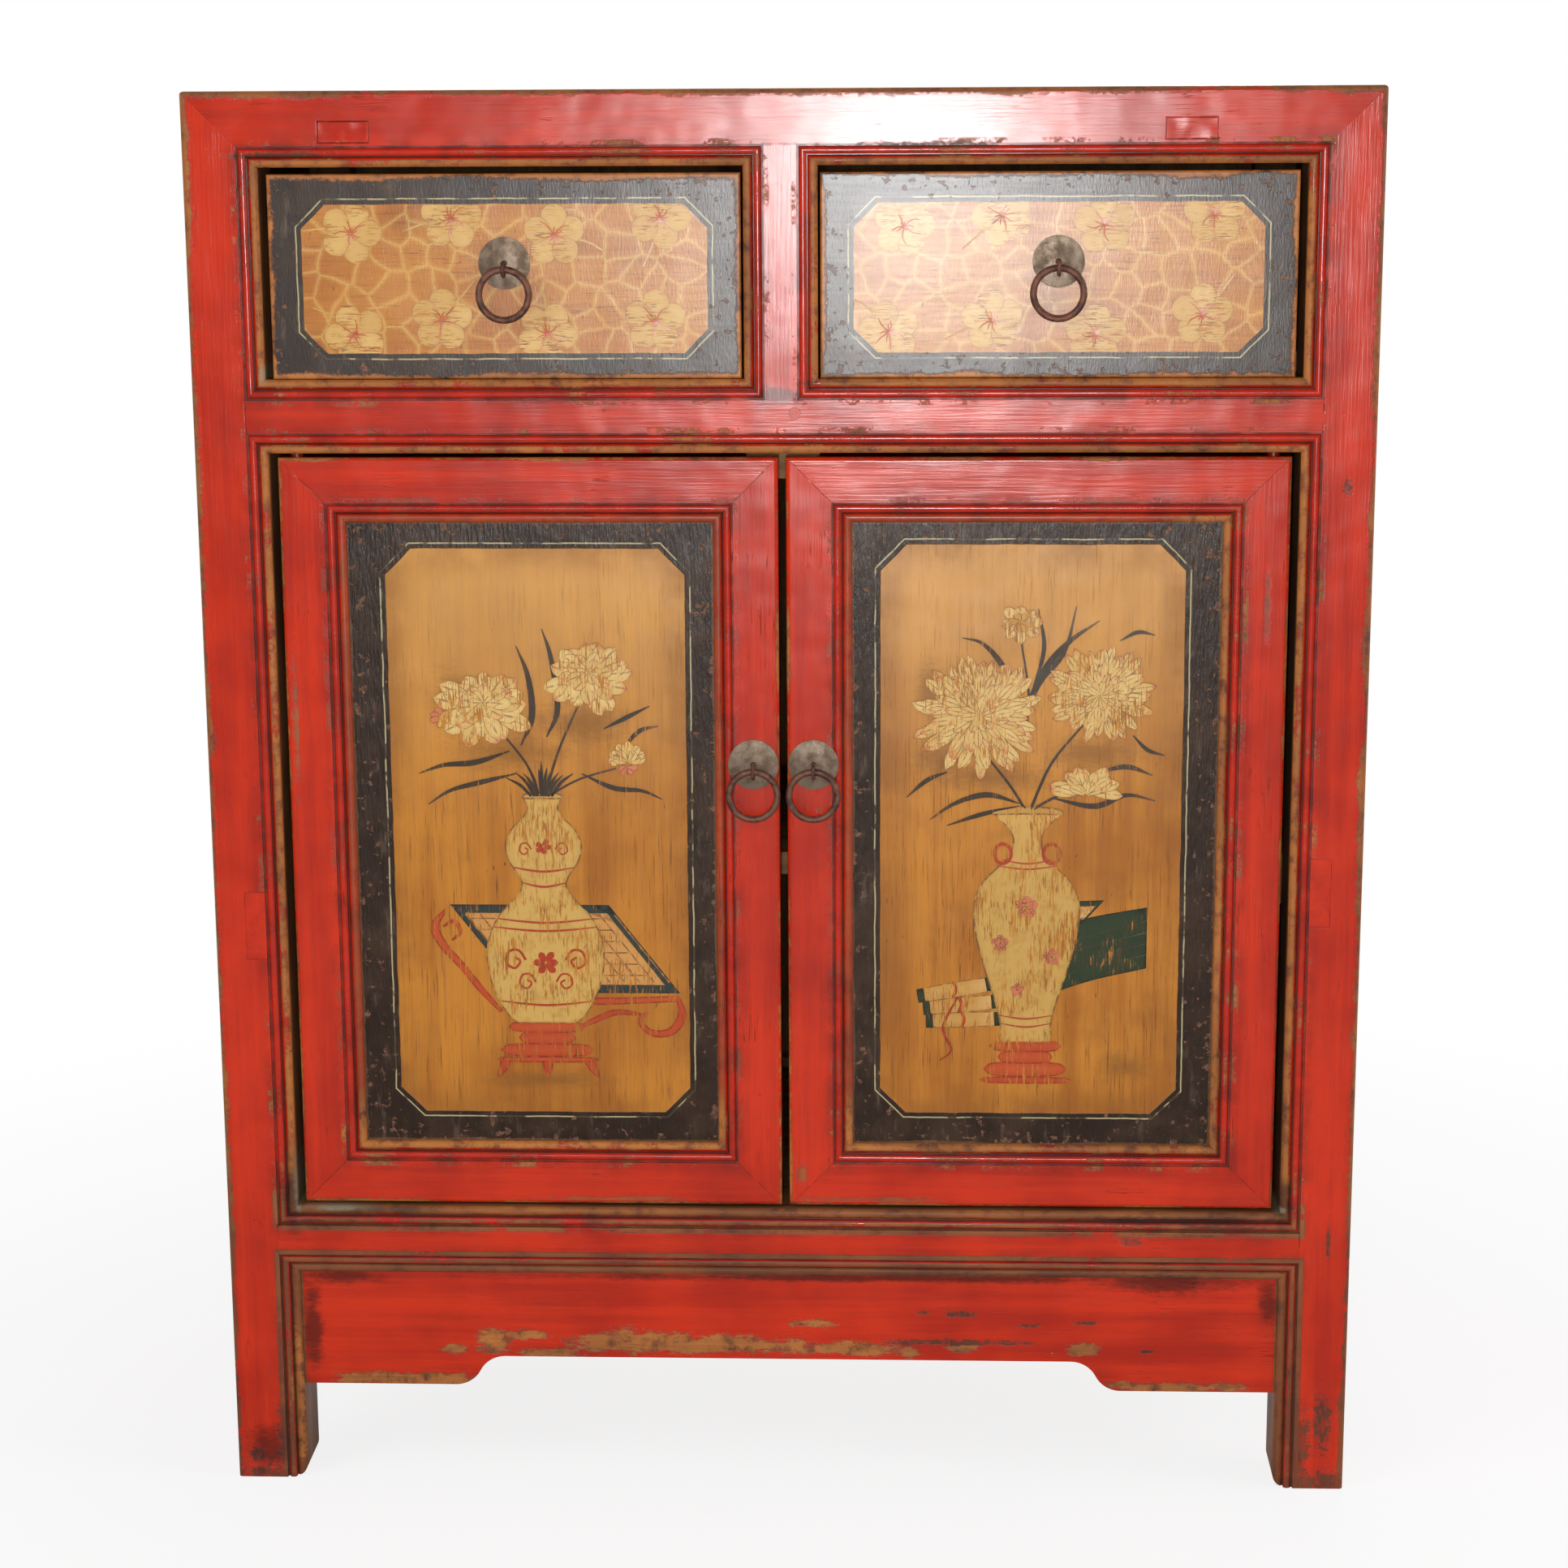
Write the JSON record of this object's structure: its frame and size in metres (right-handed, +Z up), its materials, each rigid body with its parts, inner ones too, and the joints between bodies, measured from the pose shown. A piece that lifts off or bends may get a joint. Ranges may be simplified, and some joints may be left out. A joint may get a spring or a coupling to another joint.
{
  "type": "painted cabinet",
  "caption": "Lacquered wooden cabinet with drawers side by side over a pair of panelled doors, on square legs with a shaped apron, with ring pulls.",
  "frame": {"origin": "on the floor, under the middle of the box round the whole part, pulls included", "axes": "+X to the right of someone who faces the doors, +Y to the back, +Z up; the front faces -Y"},
  "size_m": [0.8, 0.429, 0.986],
  "materials": {
    "red_lacquer": "worn glossy vermilion lacquer with bare arrises",
    "painted_panel": "amber painted field in a black border, varnished",
    "bare_wood": "bare aged softwood, matt",
    "plate_metal": "tarnished grey white-metal sheet, satin",
    "iron": "rust-brown wrought wire"
  },
  "bodies": {
    "cabinet": {"post_front_left": "red_lacquer", "post_front_right": "red_lacquer", "post_rear_left": "red_lacquer", "post_rear_right": "red_lacquer", "top_rail_front": "red_lacquer", "top_rail_rear": "red_lacquer", "top_rails_side": "red_lacquer", "top_panel": "red_lacquer", "top_battens": "bare_wood", "drawer_rail_front": "red_lacquer", "drawer_rail_rear": "bare_wood", "centre_stile": "red_lacquer", "bottom_rail_front": "red_lacquer", "bottom_rail_rear": "bare_wood", "bottom_rails_side": "red_lacquer", "shelf_rails": "red_lacquer", "side_panels": "red_lacquer", "back_panels": "bare_wood", "floor_board": "bare_wood", "shelf_board": "bare_wood", "shelf_ledgers": "bare_wood", "drawer_runners": "bare_wood", "drawer_guides": "bare_wood", "stop_blocks": "bare_wood", "apron_front": "red_lacquer", "aprons_side": "red_lacquer", "joint_pegs": "red_lacquer"},
    "drawer_left": {"drawer_left_front": "painted_panel", "drawer_left_sides": "bare_wood", "drawer_left_back": "bare_wood", "drawer_left_bottom": "bare_wood", "drawer_left_pull_plate": "plate_metal", "drawer_left_pull_staple": "iron"},
    "door_left": {"door_left_outer_stile": "red_lacquer", "door_left_inner_stile": "red_lacquer", "door_left_top_rail": "red_lacquer", "door_left_bottom_rail": "red_lacquer", "door_left_panel": "painted_panel", "door_left_battens": "bare_wood", "door_left_pull_plate": "plate_metal", "door_left_pull_staple": "iron"},
    "drawer_left_ring": {"drawer_left_pull_ring": "iron"},
    "door_left_ring": {"door_left_pull_ring": "iron"},
    "drawer_right": {"drawer_right_front": "painted_panel", "drawer_right_sides": "bare_wood", "drawer_right_back": "bare_wood", "drawer_right_bottom": "bare_wood", "drawer_right_pull_plate": "plate_metal", "drawer_right_pull_staple": "iron"},
    "door_right": {"door_right_outer_stile": "red_lacquer", "door_right_inner_stile": "red_lacquer", "door_right_top_rail": "red_lacquer", "door_right_bottom_rail": "red_lacquer", "door_right_panel": "painted_panel", "door_right_battens": "bare_wood", "door_right_pull_plate": "plate_metal", "door_right_pull_staple": "iron"},
    "drawer_right_ring": {"drawer_right_pull_ring": "iron"},
    "door_right_ring": {"door_right_pull_ring": "iron"}
  },
  "joints": [
    {"name": "drawer_left_slide", "type": "slide", "parent": "cabinet", "child": "drawer_left", "axis": [0, -1, 0], "range_m": [0, 0.28]},
    {"name": "door_left_hinge", "type": "hinge", "parent": "cabinet", "child": "door_left", "pos_m": [-0.3326, -0.1885, 0.4755], "axis": [0, 0, -1], "range_deg": [0, 100]},
    {"name": "drawer_left_ring_hinge", "type": "hinge", "parent": "drawer_left", "child": "drawer_left_ring", "pos_m": [-0.1855, -0.2088, 0.8684], "axis": [-1, 0, 0], "range_deg": [-8, 165]},
    {"name": "door_left_ring_hinge", "type": "hinge", "parent": "door_left", "child": "door_left_ring", "pos_m": [-0.0208, -0.2068, 0.5255], "axis": [-1, 0, 0], "range_deg": [-8, 165]},
    {"name": "drawer_right_slide", "type": "slide", "parent": "cabinet", "child": "drawer_right", "axis": [0, -1, 0], "range_m": [0, 0.28]},
    {"name": "door_right_hinge", "type": "hinge", "parent": "cabinet", "child": "door_right", "pos_m": [0.3326, -0.1885, 0.4755], "axis": [0, 0, 1], "range_deg": [0, 100]},
    {"name": "drawer_right_ring_hinge", "type": "hinge", "parent": "drawer_right", "child": "drawer_right_ring", "pos_m": [0.1855, -0.2088, 0.8684], "axis": [-1, 0, 0], "range_deg": [-8, 165]},
    {"name": "door_right_ring_hinge", "type": "hinge", "parent": "door_right", "child": "door_right_ring", "pos_m": [0.0208, -0.2068, 0.5255], "axis": [-1, 0, 0], "range_deg": [-8, 165]}
  ]
}
